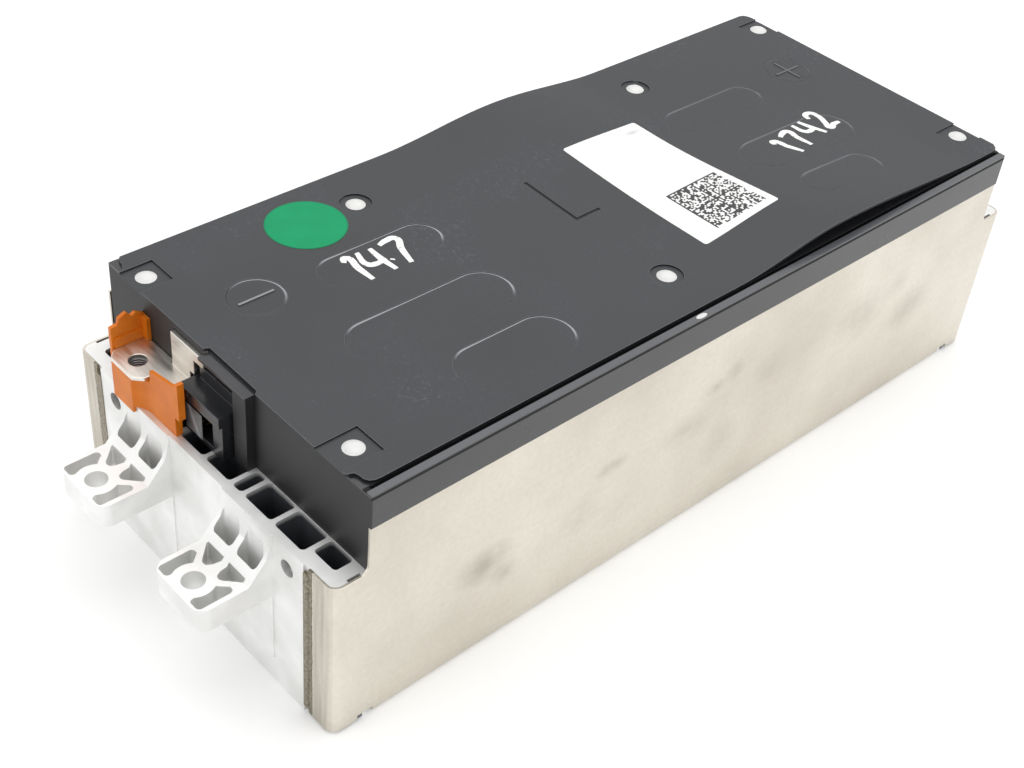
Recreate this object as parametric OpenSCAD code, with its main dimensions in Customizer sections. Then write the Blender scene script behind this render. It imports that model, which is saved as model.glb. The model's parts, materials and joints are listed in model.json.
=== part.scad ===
// Battery module with twelve prismatic cells, clamped between two cast end plates.
// Millimetres, +Z up, origin at the bottom centre, connector end towards -Y.

/* [Module] */
// Length over the two end plates, without their ears
module_l = 355; // [350:1:390]
// Width over the steel side plates
module_w = 147; // [145:1:155]
// Space between the cells and the top of the inner cover
cover_gap = 10.55; // [10:0.05:14]

/* [End plates] */
// Thickness of an end plate
plate_t = 15; // [14:0.5:18]
// Height of an end plate
plate_h = 70; // [68:0.5:72]
// Thickness of the outer wall of an end plate, in front of its channels
plate_wall = 3.2; // [2.5:0.1:4]
// Thickness of the ribs between the channels
rib_t = 1.9; // [1.5:0.1:2.5]
// Bore of the two holes in the outer face
face_hole_d = 6.5; // [5:0.5:7]

/* [Mounting ears] */
// Distance between the two bolt holes of one end
ear_pitch = 58; // [56:1:60]
// Width of an ear
ear_w = 27; // [26:0.5:28]
// Reach of an ear beyond the end plate
ear_reach = 28; // [27:0.5:32]
// Depth of the flat top of an ear below the top of the end plate
ear_drop = 18; // [16:0.5:20]
// Thickness of the flat part of an ear
ear_t = 9.7; // [8:0.1:12]
// Bore of an ear's bolt hole
ear_hole_d = 8; // [6:0.5:9]

/* [Cells] */
// Height of a cell's can
cell_h = 90; // [82:0.5:98]
// Thickness of the insulating sheet between two cells
spacer_t = 0.6; // [0.3:0.1:1.2]

/* [Steel and sheet] */
// Thickness of the steel side plates
steel_t = 1; // [0.8:0.1:1.2]
// Thickness of the top cover sheet
sheet_t = 1.2; // [1:0.1:1.5]

/* [Terminals] */
// Thickness of the output busbars
busbar_t = 1.5; // [1:0.1:2]
// Nominal thread of the terminal nuts
thread_d = 6; // [5:1:6]

/* [Hidden] */
$fn = 48;
cell_count = 12;
group_size = 3;
half_l = module_l / 2;
half_w = module_w / 2;
eps = 0.01;

// Heights
film_t = 0.4;
film_gap = 0.05;
skirt_h = 13;
cell_z = steel_t + film_gap + film_t;
cell_top = cell_z + cell_h;
cover_z = cell_top + cover_gap;
skirt_z = cover_z - skirt_h;
ear_z = plate_h - ear_drop;

// Steel side plates
bend_r = 4;
wrap_x = half_w - 12.5;
weld_w = 2.4;
weld_proud = 0.3;
weld_end = 3;
flange_w = 14;
flange_bend_r = 2.5;
flange_gap = 3.5;
notch_w = 6;
notch_h = 3;
steel_gap = 0.2;
step_fillet = 3;

// End plates
plate_back_y = -half_l + plate_t;
channel_back = 1.6;
channel_floor = 3;
land_t = 0.6;
side_slot_w = 1;
side_slot_l = 5;
face_hole_x = half_w - 23.5;
face_hole_z = plate_h - 8.8;
channel_r = 1.5;
corner_channel_w = 11;
corner_channel_in = 2.8;
channel_w = [13.4, 4.7, 14.2, 14.8];
middle_rib_t = 1.6;

// Mounting ears
ear_x = ear_pitch / 2;
ear_hole_y = 7;
ear_corner_r = 5;
ear_floor = 3;
ear_rim = 1.8;
boss_wall = 3.5;
pocket_r = 1.5;
slot_low = -6;
slot_high = 7.5;
gusset_reach = 9.5;
gusset_knee_y = 2.5;
gusset_knee_z = 8;
gusset_top_z = 15;
ear_web = 2.4;
ear_spine = 2.8;

// Inner cover
cover_wall = 1.2;
cover_set = plate_t - cover_wall;
cover_y = half_l - cover_set;
cover_top_t = 1.6;
cover_proud = 0.3;
cover_left = half_w - 2.3;
cover_fit = 0.1;
foot_h = 1.75;
rear_lip = 2.1;
rim_w = 2.6;
rim_h = 0.6;
roof_x = [across(-11), across(15)];
roof_reach = 4;
roof_t = 1.2;
roof_drop = 0.3;
bulge_x = across(7.2);

// Cells
insulator_t = 2;
cell_w = module_w - 2 * flange_bend_r;
cell_space = module_l - 2 * plate_t - 2 * insulator_t - (cell_count - 1) * spacer_t;
cell_t = cell_space / cell_count;
cell_pitch = cell_t + spacer_t;
cell_r = 2;
pole_x = half_w - 21.5;
pole_w = 18;
pole_l = 14;
pole_h = 2;
vent_w = 22;
vent_l = 10;
vent_h = 0.4;

// Contacts above the cells
carrier_t = 1.5;
carrier_gap = 0.8;
link_w = 20;
link_z = cell_top + pole_h;
dimple_d = 7;
dimple_depth = 0.5;
flex_t = 0.4;
flex_w = 16;

// Terminals
terminal_x = across(-39.3);
terminal_y = -half_l + 4.1;
terminal_z = above(14.6);
terminal_left = terminal_x - 9.7;
terminal_right = terminal_x + 9.3;
terminal_tip = -half_l - 2.3;
bar_right = terminal_x + 19.3;
riser_step = terminal_x + 21.8;
riser_left = terminal_x + 8.3;
riser_right = terminal_x + 27.3;
riser_top = above(28.5);
riser_y = -cover_y - 0.1;
bolt_gap = 0.4;
nut_af = 10;
nut_t = 5.4;
nut_gap = 0.2;
shroud_left = terminal_x - 11.6;
shroud_t = 1.5;
shroud_right = terminal_x + 25.8;
shroud_low = 2.5;
shroud_y = -half_l + 1.5;
shroud_front = -half_l - land_t - 1.1;
shroud_panel_t = 1.2;
hang_left = terminal_x - 7.6;
fold_left = terminal_x + 4.4;
fold_right = terminal_x + 11.5;
fold_depth = shroud_y - shroud_front;
fold_r = (pow(fold_right - fold_left, 2) + pow(fold_depth, 2)) / (2 * fold_depth);
shroud_tab = 2.4;
ledge_t = 0.7;
rear_wall_x = terminal_x + 30.8;

// Signal connector
plug_left = across(-17);
plug_right = across(6);
plug_z = above(19.2);
plug_top = above(24.6);
plug_gap = 0.3;
plug_front = -half_l + 5.6;
plug_lip = 4.6;
socket_left = across(-14.6);
socket_right = across(0.4);
socket_low = above(2.5);
socket_top = above(14);
socket_depth = 6;
pin_w = 0.64;
pin_count = 6;
pin_rows = 2;

// Top cover sheet
sheet_left = half_w - 2.9;
sheet_right = half_w - 4.2;
sheet_y = cover_y + 1.1;
sheet_rear = cover_y + 3.3;
recess_depth = 0.7;
field_depth = 0.3;
mark_w = 1;
rivet_d = 7.4;
rivet_head_h = 1.3;
rivet_shank_d = 4;
rivet_grip = 1.8;
corner_rivets = [[-56, -158.4], [53.6, -154.9], [-57.4, 161], [52.8, 160]];
middle_rivets = [[-50.2, -73.6], [-51.4, 74.8], [49, -11.8]];

// Places follow the size of the module: along it, across it, from its left side, and above the end plates
function along(y) = y * module_l / 355;
function spread(x) = x * module_w / 147;
function across(x) = x + 147 / 2 - half_w;
function above(h) = plate_h + h * (cover_z - plate_h) / 32;
function cell_y(i) = plate_back_y + insulator_t + cell_t / 2 + (i - 1) * cell_pitch;
function channel_left(i) = i == 0 ? spread(middle_rib_t / 2) : channel_right(i - 1) + rib_t;
function channel_right(i) = channel_left(i) + spread(channel_w[i]);

module rounded_rect(w, l, r) {
    square([w - 2 * r, l], center = true);
    square([w, l - 2 * r], center = true);
    for (x = [-1, 1], y = [-1, 1])
        translate([x * (w / 2 - r), y * (l / 2 - r)]) circle(r);
}

module quarter_ring(r, t) {
    intersection() {
        difference() {
            circle(r);
            circle(r - t);
        }
        square(r + 1);
    }
}

module box(x0, x1, y0, y1, z0, z1) {
    translate([x0, y0, z0]) cube([x1 - x0, y1 - y0, z1 - z0]);
}

// End plates and their ears

module ear_outline() {
    reach = ear_reach + 1;
    translate([-ear_w / 2, -ear_reach + ear_corner_r]) square([ear_w, reach - ear_corner_r]);
    translate([-ear_w / 2 + ear_corner_r, -ear_reach]) square([ear_w - 2 * ear_corner_r, ear_corner_r + eps]);
    for (x = [-1, 1])
        translate([x * (ear_w / 2 - ear_corner_r), -ear_reach + ear_corner_r]) circle(ear_corner_r);
}

module gusset() {
    points = [[1, -ear_t], [-gusset_reach, -ear_t], [-gusset_reach, 0], [-gusset_knee_y, gusset_knee_z],
              [-land_t, gusset_top_z], [1, gusset_top_z]];
    translate([-ear_w / 2, 0, 0])
        rotate([90, 0, 90]) linear_extrude(ear_w) polygon(points);
}

// Outlines of the pockets that leave a boss, a rim and crossed ribs, right half
module ear_pockets() {
    inner = ear_w / 2 - ear_rim;
    hole_y = -ear_reach + ear_hole_y;
    boss_r = ear_hole_d / 2 + boss_wall;
    slot_w = inner - boss_r + 1.1;
    web_y = hole_y + 12.6;
    difference() {
        translate([inner - slot_w / 2, hole_y + (slot_low + slot_high) / 2])
            rounded_rect(slot_w, slot_high - slot_low, pocket_r);
        translate([0, hole_y]) circle(boss_r);
        translate([0, hole_y])
            polygon([[inner - slot_w - 1, slot_high - 4.5], [inner - 1.9, slot_high + 0.5],
                     [inner - slot_w - 1, slot_high + 0.5]]);
    }
    polygon([[ear_spine / 2, web_y], [inner - 1.4, web_y], [inner - 1.1, web_y - 0.7],
             [5.6, hole_y + 6.9], [4.4, hole_y + 6.4], [3, hole_y + 6.8], [2, hole_y + 8.6]]);
    translate([(inner + ear_spine / 2) / 2, (web_y + ear_web - 1.2) / 2])
        rounded_rect(inner - ear_spine / 2, -web_y - ear_web - 1.2, pocket_r);
}

module ear() {
    difference() {
        union() {
            translate([0, 0, -ear_t]) linear_extrude(ear_t) ear_outline();
            gusset();
        }
        translate([0, 0, -ear_t + ear_floor]) linear_extrude(60)
            for (m = [0, 1]) mirror([m, 0]) ear_pockets();
        translate([0, -ear_reach + ear_hole_y, -ear_t - 1]) cylinder(d = ear_hole_d, h = ear_t + 20);
    }
}

module plate_outline() {
    inner_r = bend_r - steel_t;
    side = half_w - steel_t;
    front = -half_l + steel_t;
    difference() {
        translate([-side, front]) square([2 * side, plate_t - steel_t]);
        for (m = [0, 1]) mirror([m, 0]) {
            translate([side - inner_r, front]) square([inner_r + 1, inner_r]);
            translate([side - side_slot_w, front + 5.5]) square([side_slot_w + 1, side_slot_l]);
        }
    }
    for (x = [-1, 1]) translate([x * (side - inner_r), front + inner_r]) circle(inner_r);
    translate([-wrap_x + weld_w, -half_l]) square([2 * (wrap_x - weld_w), steel_t + eps]);
}

module plate_channels() {
    front = -half_l + plate_wall;
    depth = plate_t - plate_wall - channel_back;
    for (m = [0, 1]) mirror([m, 0]) {
        for (i = [0 : 3])
            translate([(channel_left(i) + channel_right(i)) / 2, front + depth / 2])
                rounded_rect(channel_right(i) - channel_left(i), depth, channel_r);
        translate([channel_left(4) + corner_channel_w / 2, front + (corner_channel_in + depth) / 2])
            rounded_rect(corner_channel_w, depth - corner_channel_in, channel_r);
    }
}

module end_plate() {
    color("gainsboro") difference() {
        union() {
            linear_extrude(plate_h) plate_outline();
            for (x = [-ear_x, ear_x]) {
                box(x - ear_w / 2, x + ear_w / 2, -half_l - land_t, -half_l + 1, 12, plate_h);
                translate([x, -half_l, ear_z]) ear();
            }
        }
        translate([0, 0, channel_floor]) linear_extrude(plate_h) plate_channels();
        for (x = [-face_hole_x, face_hole_x])
            translate([x, -half_l - 1, face_hole_z]) rotate([-90, 0, 0])
                cylinder(d = face_hole_d, h = plate_wall + 2);
    }
}

// Steel side plates, drawn for the +X side

module wrap_end() {
    translate([half_w - steel_t, -half_l + bend_r]) square([steel_t, cover_set - bend_r + eps]);
    translate([half_w - bend_r, -half_l + bend_r]) mirror([0, 1]) quarter_ring(bend_r, steel_t);
    translate([wrap_x, -half_l]) square([half_w - bend_r - wrap_x, steel_t]);
}

module side_plate() {
    color("tan") difference() {
        union() {
            box(half_w - steel_t, half_w, -cover_y, cover_y, flange_bend_r, skirt_z - steel_gap);
            translate([0, cover_y - flange_gap, 0]) rotate([90, 0, 0])
                linear_extrude(2 * (cover_y - flange_gap)) {
                    translate([half_w - flange_bend_r, flange_bend_r]) mirror([0, 1])
                        quarter_ring(flange_bend_r, steel_t);
                    translate([half_w - flange_w, 0]) square([flange_w - flange_bend_r, steel_t]);
                }
            for (m = [0, 1]) mirror([0, m, 0]) {
                translate([0, 0, steel_t]) linear_extrude(plate_h - steel_t) wrap_end();
                box(wrap_x - weld_w, wrap_x + eps, -half_l - weld_proud, -half_l + steel_t,
                    weld_end, plate_h - weld_end);
                difference() {
                    box(half_w - steel_t, half_w, -cover_y - step_fillet, -cover_y, plate_h - 1,
                        plate_h + step_fillet);
                    translate([half_w - steel_t - 1, -cover_y - step_fillet, plate_h + step_fillet])
                        rotate([0, 90, 0]) cylinder(r = step_fillet, h = steel_t + 2);
                }
            }
        }
        for (m = [0, 1]) mirror([0, m, 0])
            box(half_w - steel_t - 1, half_w + 1, -cover_y - notch_w / 2, -cover_y + flange_gap, -1, notch_h);
    }
}

module left_side() {
    mirror([1, 0, 0]) side_plate();
}

// Cells and the sheets round them

module cell(i) {
    color("steelblue") translate([0, cell_y(i), cell_z]) {
        linear_extrude(cell_h) rounded_rect(cell_w, cell_t, cell_r);
        for (x = [-pole_x, pole_x])
            translate([x, 0, cell_h]) linear_extrude(pole_h) square([pole_w, pole_l], center = true);
        translate([0, 0, cell_h]) linear_extrude(vent_h) rounded_rect(vent_w, vent_l, vent_l / 2 - eps);
    }
}

module spacer(i) {
    y = cell_y(i) + cell_t / 2;
    color("whitesmoke") box(-cell_w / 2 + 2, cell_w / 2 - 2, y, y + spacer_t, cell_z + 1, cell_top - 1);
}

module end_insulator() {
    color("dimgray") box(-cell_w / 2, cell_w / 2, plate_back_y, plate_back_y + insulator_t,
                         cell_z, cell_top - 1);
}

// Film between the cells and a side plate, turned in under the cells
module side_insulator() {
    r = flange_bend_r - steel_t - film_gap;
    x = half_w - flange_bend_r;
    color("ghostwhite") translate([0, -plate_back_y, 0]) rotate([90, 0, 0])
        linear_extrude(-2 * plate_back_y) {
            translate([x + r - film_t, flange_bend_r]) square([film_t, skirt_z - 1 - flange_bend_r]);
            translate([x, flange_bend_r]) mirror([0, 1]) quarter_ring(r, film_t);
            translate([half_w - flange_w, flange_bend_r - r]) square([flange_w - flange_bend_r, film_t]);
        }
}

// Contacts above the cells

module contact_carrier() {
    w = cell_w - 4;
    l = -2 * plate_back_y - 4;
    color("darkslategray") translate([0, 0, cell_top + vent_h + 0.1]) linear_extrude(carrier_t - 0.5)
        difference() {
            square([w, l], center = true);
            for (i = [1 : cell_count], x = [-pole_x, pole_x])
                translate([x, cell_y(i)])
                    square([pole_w + 2 * carrier_gap, pole_l + 2 * carrier_gap], center = true);
        }
}

// Busbar over the poles of the cells from first to last, with one weld dimple on each pole
module contact_bar(side, first, last) {
    x = side * pole_x;
    y0 = cell_y(first) - pole_l / 2;
    y1 = cell_y(last) + pole_l / 2;
    difference() {
        box(x - link_w / 2, x + link_w / 2, y0, y1, link_z, link_z + busbar_t);
        for (i = [first : last])
            translate([x, cell_y(i), link_z + busbar_t - dimple_depth]) cylinder(d = dimple_d, h = 1);
        for (i = [first : last - 1])
            box(x + side * link_w / 2 - 6, x + side * link_w / 2 + 6, cell_y(i) + cell_pitch / 2 - 0.8,
                cell_y(i) + cell_pitch / 2 + 0.8, link_z - 1, link_z + busbar_t + 1);
    }
}

module link_busbar(n) {
    color("silver") contact_bar(n == 2 ? -1 : 1, 1 + (n - 1) * group_size, (n + 1) * group_size);
}

module flex_circuit() {
    z = cell_top + vent_h + 0.1 + carrier_t - 0.5;
    front = -cover_y - 0.7;
    color("darkgoldenrod") {
        box(-flex_w / 2 - 3, flex_w / 2 - 3, front, -front - 8, z, z + flex_t);
        for (i = [2 : group_size : cell_count - 1])
            box(-pole_x + link_w / 2 + 1, pole_x - link_w / 2 - 1, cell_y(i) - 2, cell_y(i) + 2, z, z + flex_t);
    }
}

// Terminals, drawn for the front end

module terminal_bar() {
    top = terminal_z;
    low = terminal_z - busbar_t;
    chamfer = 3;
    translate([0, 0, low]) linear_extrude(busbar_t) difference() {
        polygon([[terminal_left, riser_y], [terminal_left, terminal_tip + chamfer],
                 [terminal_left + chamfer, terminal_tip], [terminal_right - chamfer, terminal_tip],
                 [terminal_right, terminal_tip + chamfer], [terminal_right, shroud_y + shroud_t + 0.2],
                 [bar_right, shroud_y + shroud_t + 0.2], [bar_right, riser_y]]);
        translate([terminal_x, terminal_y]) circle(d = thread_d + bolt_gap);
    }
    box(riser_left, bar_right, riser_y - busbar_t, riser_y, low, plug_z);
    box(riser_left, riser_step, riser_y - busbar_t, riser_y, above(18.6), plug_top);
    box(riser_left, riser_right, riser_y - busbar_t, riser_y, plug_top - eps, riser_top);
    box(riser_left, riser_right, riser_y - eps, plate_back_y + 2 * busbar_t, riser_top - busbar_t, riser_top);
    box(riser_left, riser_right, plate_back_y + busbar_t, plate_back_y + 2 * busbar_t, link_z, riser_top);
}

module output_busbar(first) {
    color("silver") {
        terminal_bar();
        contact_bar(-1, first, first + group_size - 1);
        box(-pole_x - link_w / 2, riser_right, plate_back_y + busbar_t,
            cell_y(1) - pole_l / 2 + eps, link_z, link_z + busbar_t);
    }
}

module terminal_nut() {
    color("lightgray") translate([terminal_x, terminal_y, terminal_z - busbar_t - nut_t])
        difference() {
            cylinder(d = nut_af / cos(30), h = nut_t, $fn = 6);
            translate([0, 0, -1]) cylinder(d = thread_d, h = nut_t + 2);
        }
}

// Stepped wall beside the terminal, as seen from the side
module shroud_wall_outline() {
    front = shroud_y - 1;
    back = -cover_y - 0.1;
    polygon([[front, plate_h], [front, above(23)], [front + 3, above(23.4)], [front + 3.4, above(25.6)],
             [front + 6.4, above(27)], [front + 8.3, above(24.8)], [front + 9.8, above(25.6)],
             [back, above(23.8)], [back, plate_h]]);
}

module terminal_cover() {
    top = terminal_z - busbar_t;
    back = -cover_y - 0.1;
    color("darkorange") difference() {
        union() {
            box(shroud_left + shroud_t - eps, bar_right, shroud_y, back, plate_h, top);
            translate([shroud_left, 0, 0]) rotate([90, 0, 90]) linear_extrude(shroud_t)
                shroud_wall_outline();
            box(shroud_left + shroud_t - eps, terminal_x - 6.7, back - shroud_t, back,
                terminal_z + 0.1, above(23.6));
            box(shroud_left + shroud_t - eps, shroud_left + shroud_t + ledge_t, shroud_y, back,
                terminal_z + 0.1, above(18.5));
            translate([0, 0, plate_h]) linear_extrude(top - plate_h) difference() {
                translate([hang_left, shroud_front]) square([fold_right - hang_left, fold_depth + eps]);
                translate([fold_right, shroud_y - fold_r]) circle(fold_r);
            }
            box(hang_left, fold_left, shroud_front, -half_l - land_t - 0.1,
                plate_h - shroud_low, plate_h + eps);
            translate([0, shroud_y + shroud_panel_t, 0]) rotate([90, 0, 0]) linear_extrude(shroud_panel_t)
                polygon([[fold_right, plate_h], [shroud_right, plate_h], [shroud_right, above(9.8)],
                         [shroud_right + shroud_tab, above(9.8)], [shroud_right + shroud_tab, above(22.2)],
                         [fold_right, above(18.8)]]);
            box(shroud_right - shroud_t, shroud_right, shroud_y, shroud_y + 2.6, plate_h, above(9.8) + eps);
            box(shroud_right + shroud_tab - shroud_t, shroud_right + shroud_tab, shroud_y, shroud_y + 2.6,
                above(9.8), above(23.4));
            box(shroud_right - shroud_t, shroud_right + shroud_tab, shroud_y, shroud_y + 2.6,
                above(9.8) - shroud_t, above(9.8) + eps);
        }
        translate([terminal_x, terminal_y, top - nut_t - nut_gap])
            cylinder(d = (nut_af + 2 * nut_gap) / cos(30), h = nut_t + 1, $fn = 6);
        translate([terminal_x, terminal_y, plate_h + 2]) cylinder(d = thread_d + 1, h = 30);
    }
}

// The rear cover has a second tall wall where the front has the connector
module rear_terminal_cover() {
    color("darkorange") {
        terminal_cover();
        box(shroud_right - eps, rear_wall_x, shroud_y, shroud_y + shroud_t, plate_h, above(22.2));
        translate([rear_wall_x - shroud_t, 0, 0]) rotate([90, 0, 90]) linear_extrude(shroud_t)
            shroud_wall_outline();
    }
}

// Signal connector

module signal_connector() {
    back = -cover_y;
    color("dimgray") difference() {
        union() {
            box(plug_left, plug_right, plug_front + 1.2, back, plate_h, plug_z);
            box(plug_left, plug_right, plug_front, back, plug_z - plug_lip, plug_z);
            box(plug_left + 2, plug_right, back - 1, back, plug_z - eps, plug_top - plug_gap);
        }
        box(socket_left, socket_right, plug_front, plug_front + 1.2 + socket_depth, socket_low, socket_top);
        for (x = [plug_left - 1, plug_left + 5])
            box(x, x + 2.4, plug_front - 1, plug_front + 0.8, plug_z - 2.4, plug_z - 1.2);
        box(-flex_w / 2 - 3.2, flex_w / 2 - 2.8, back - 0.8, back + 1, cell_top + 1, cell_top + 2.4);
    }
}

module connector_pins() {
    step = (socket_right - socket_left) / (pin_count + 1);
    color("gold") for (i = [1 : pin_count], r = [0 : pin_rows - 1])
        translate([socket_left + i * step, plug_front + 1.2 + socket_depth - 4, socket_low + 4.5 + r * 4])
            rotate([-90, 0, 0]) cylinder(d = pin_w, h = 4);
}

// Covers

module inner_cover() {
    outer = half_w + cover_proud;
    side_t = steel_t + cover_proud;
    foot = half_w - steel_t - cover_fit;
    foot_top = cell_top + foot_h;
    color("black") difference() {
        union() {
            box(-cover_left, outer, -cover_y, cover_y, skirt_z, cover_z);
            box(-cover_left, half_w - steel_t, -cover_y, cover_y, plate_h, skirt_z + eps);
            box(-foot, 0, -cover_y + cover_wall, cover_y - cover_wall, skirt_z, foot_top);
            box(outer - rim_w, outer, -cover_y, cover_y, cover_z - eps, cover_z + rim_h);
            box(-cover_left, outer, cover_y - eps, cover_y + rear_lip, cover_z - cover_top_t, cover_z);
            box(roof_x[0], roof_x[1], -cover_y - roof_reach, -cover_y + eps,
                cover_z - roof_drop - roof_t, cover_z - roof_drop);
            box(bulge_x, roof_x[1] - 0.6, -cover_y - roof_reach + 0.6, -cover_y + eps,
                plate_h, cover_z - roof_drop - roof_t + eps);
        }
        box(-cover_left + side_t, outer - side_t, -cover_y + cover_wall, cover_y - cover_wall, plate_h - 1,
            cover_z - cover_top_t);
        box(-cell_w / 2 - cover_fit, 0, -cover_y + cover_wall, cover_y - cover_wall, plate_h - 1,
            foot_top - cover_wall);
        box(-outer - 1, outer + 1, -cover_y + cover_wall, cover_y - cover_wall, plate_h - 1, skirt_z);
        for (m = [0, 1]) mirror([0, m, 0])
            box(riser_left - 0.3, riser_right + 0.3, -cover_y - 1, -cover_y + cover_wall + 1,
                riser_top - busbar_t - 0.3, riser_top + 0.3);
        box(-flex_w / 2 - 3.3, flex_w / 2 - 2.7, -cover_y - 1, -cover_y + cover_wall + 1,
            cell_top + 1, cell_top + 2.4);
        for (p = concat(corner_rivets, middle_rivets))
            translate([spread(p[0]), along(p[1]), cover_z - cover_top_t - 1])
                cylinder(d = rivet_shank_d, h = cover_top_t + 2);
    }
}

// Sunk field with round ends
module field(x0, x1, y0, y1) {
    w = x1 - x0;
    l = along(y1) - along(y0);
    translate([spread((x0 + x1) / 2), (along(y0) + along(y1)) / 2]) rounded_rect(w, l, w / 2 - eps);
}

// Sunk disc with a raised bar, or a cross of two
module polarity_mark(x, y, bars) {
    translate([spread(x), along(y)]) difference() {
        circle(10.5);
        for (i = [1 : bars]) rotate([0, 0, 90 * i - 90]) square([mark_w, 14.5], center = true);
    }
}

module sheet_outline() {
    y = sheet_y;
    rear = sheet_rear;
    right = sheet_right;
    polygon([[-sheet_left, -y + 5.2], [-sheet_left + 1.2, -y + 4.1], [-sheet_left + 4.6, -y + 3.4],
             [-sheet_left + 6.4, -y + 2.4], [-sheet_left + 7.6, -y + 0.4], [-sheet_left + 8.6, -y],
             [roof_x[0] - 1, -y], [roof_x[0], -y + 1.9], [roof_x[1], -y + 1.6], [roof_x[1] + 1.4, -y + 0.2],
             [right - 8, -y + 0.2], [right - 7.1, -y + 0.7], [right - 6.8, -y + 1.7], [right - 6.3, -y + 2.8],
             [right - 5, -y + 3.3], [right - 2.6, -y + 3.5], [right - 1.1, -y + 4.4], [right - 0.2, -y + 6],
             [right, -y + 8], [right, rear - 6], [right - 1, rear - 2.2], [right - 3.4, rear - 0.5],
             [-sheet_left + 8.6, rear], [-sheet_left + 3, rear - 0.8], [-sheet_left + 0.8, rear - 2],
             [-sheet_left, rear - 4]]);
}

module top_cover() {
    top = cover_z + sheet_t;
    color([0.2, 0.2, 0.21]) difference() {
        translate([0, 0, cover_z]) linear_extrude(sheet_t) sheet_outline();
        for (p = corner_rivets) {
            end = p[1] < 0 ? -1 : 1;
            y0 = along(p[1]) - end * 6.5;
            y1 = end * (sheet_rear + 1);
            box(spread(p[0]) - 6.7, spread(p[0]) + 6.7, min(y0, y1), max(y0, y1), top - recess_depth, top + 1);
        }
        for (p = middle_rivets)
            translate([spread(p[0]), along(p[1]), top - recess_depth]) cylinder(d = rivet_d + 5, h = 2);
        for (p = concat(corner_rivets, middle_rivets))
            translate([spread(p[0]), along(p[1]), cover_z - 1]) cylinder(d = rivet_shank_d, h = sheet_t + 2);
        translate([0, 0, top - field_depth]) linear_extrude(1) {
            field(-28.6, -10.5, -112, -60);
            field(6.6, 29, -128, -60);
            field(37.6, 60, -108, -60);
            field(-28.6, -12, 64, 116);
            field(6.6, 29, 68, 128);
            field(37.6, 54, 70, 112);
            polarity_mark(-24.5, -135.5, 1);
            polarity_mark(-24.5, 142, 2);
            translate([-23, along(-15)]) square([29, 1.3]);
            translate([4.8, along(-15)]) square([1.3, 12.5]);
        }
    }
}

module cover_rivets() {
    seat = cover_z + sheet_t - recess_depth;
    sphere_r = (rivet_d * rivet_d / 4 + rivet_head_h * rivet_head_h) / (2 * rivet_head_h);
    color("white") for (p = concat(corner_rivets, middle_rivets))
        translate([spread(p[0]), along(p[1]), seat]) {
            intersection() {
                translate([0, 0, rivet_head_h - sphere_r]) sphere(sphere_r);
                cylinder(d = rivet_d, h = rivet_head_h + 1);
            }
            translate([0, 0, -rivet_grip - sheet_t]) cylinder(d = rivet_shank_d, h = rivet_grip + sheet_t + eps);
        }
}

end_plate();  // end_plate_front
mirror([0, 1, 0]) end_plate();  // end_plate_rear
left_side();  // side_plate_left
side_plate();  // side_plate_right
cell(1);  // cell_01
cell(2);  // cell_02
cell(3);  // cell_03
cell(4);  // cell_04
cell(5);  // cell_05
cell(6);  // cell_06
cell(7);  // cell_07
cell(8);  // cell_08
cell(9);  // cell_09
cell(10);  // cell_10
cell(11);  // cell_11
cell(12);  // cell_12
spacer(1);  // spacer_01
spacer(2);  // spacer_02
spacer(3);  // spacer_03
spacer(4);  // spacer_04
spacer(5);  // spacer_05
spacer(6);  // spacer_06
spacer(7);  // spacer_07
spacer(8);  // spacer_08
spacer(9);  // spacer_09
spacer(10);  // spacer_10
spacer(11);  // spacer_11
end_insulator();  // end_insulator_front
mirror([0, 1, 0]) end_insulator();  // end_insulator_rear
mirror([1, 0, 0]) side_insulator();  // side_insulator_left
side_insulator();  // side_insulator_right
contact_carrier();
link_busbar(1);  // link_busbar_1
link_busbar(2);  // link_busbar_2
link_busbar(3);  // link_busbar_3
output_busbar(1);  // output_busbar_front
mirror([0, 1, 0]) output_busbar(1);  // output_busbar_rear
terminal_nut();  // terminal_nut_front
mirror([0, 1, 0]) terminal_nut();  // terminal_nut_rear
terminal_cover();  // terminal_cover_front
mirror([0, 1, 0]) rear_terminal_cover();  // terminal_cover_rear
flex_circuit();
signal_connector();
connector_pins();
inner_cover();
top_cover();
cover_rivets();
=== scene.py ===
import bmesh
import bpy
import json
import math
from mathutils import Matrix, Vector


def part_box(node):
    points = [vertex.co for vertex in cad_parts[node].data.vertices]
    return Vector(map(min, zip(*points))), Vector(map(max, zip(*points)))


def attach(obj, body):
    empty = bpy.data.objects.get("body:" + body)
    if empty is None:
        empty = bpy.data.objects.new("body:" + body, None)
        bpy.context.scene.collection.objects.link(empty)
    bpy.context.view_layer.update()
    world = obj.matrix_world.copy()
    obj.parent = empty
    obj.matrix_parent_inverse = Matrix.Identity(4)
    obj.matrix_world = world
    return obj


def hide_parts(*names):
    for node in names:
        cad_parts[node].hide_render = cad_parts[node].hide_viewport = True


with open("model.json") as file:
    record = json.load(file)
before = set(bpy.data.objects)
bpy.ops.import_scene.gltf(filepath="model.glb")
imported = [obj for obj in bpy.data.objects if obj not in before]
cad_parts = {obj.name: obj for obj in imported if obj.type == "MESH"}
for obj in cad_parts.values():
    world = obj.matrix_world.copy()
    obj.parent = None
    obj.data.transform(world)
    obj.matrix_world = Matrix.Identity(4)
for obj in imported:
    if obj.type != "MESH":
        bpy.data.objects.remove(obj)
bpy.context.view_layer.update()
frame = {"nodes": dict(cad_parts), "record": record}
nodes = frame["nodes"]
mm = 0.001
print("frame loaded:", len(nodes), "nodes")

# Camera

photoView = {
    "azimuth": 43.97,
    "elevation": 39.77,
    "roll": 6.01,
    "distance": 0.5837,
    "target": (0.0164, -0.0507, 0.05),
    "focalPixels": 1565.0,
    "imageWidth": 1024,
    "sensorWidth": 36.0,
    "clipStart": 0.01,
}


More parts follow.
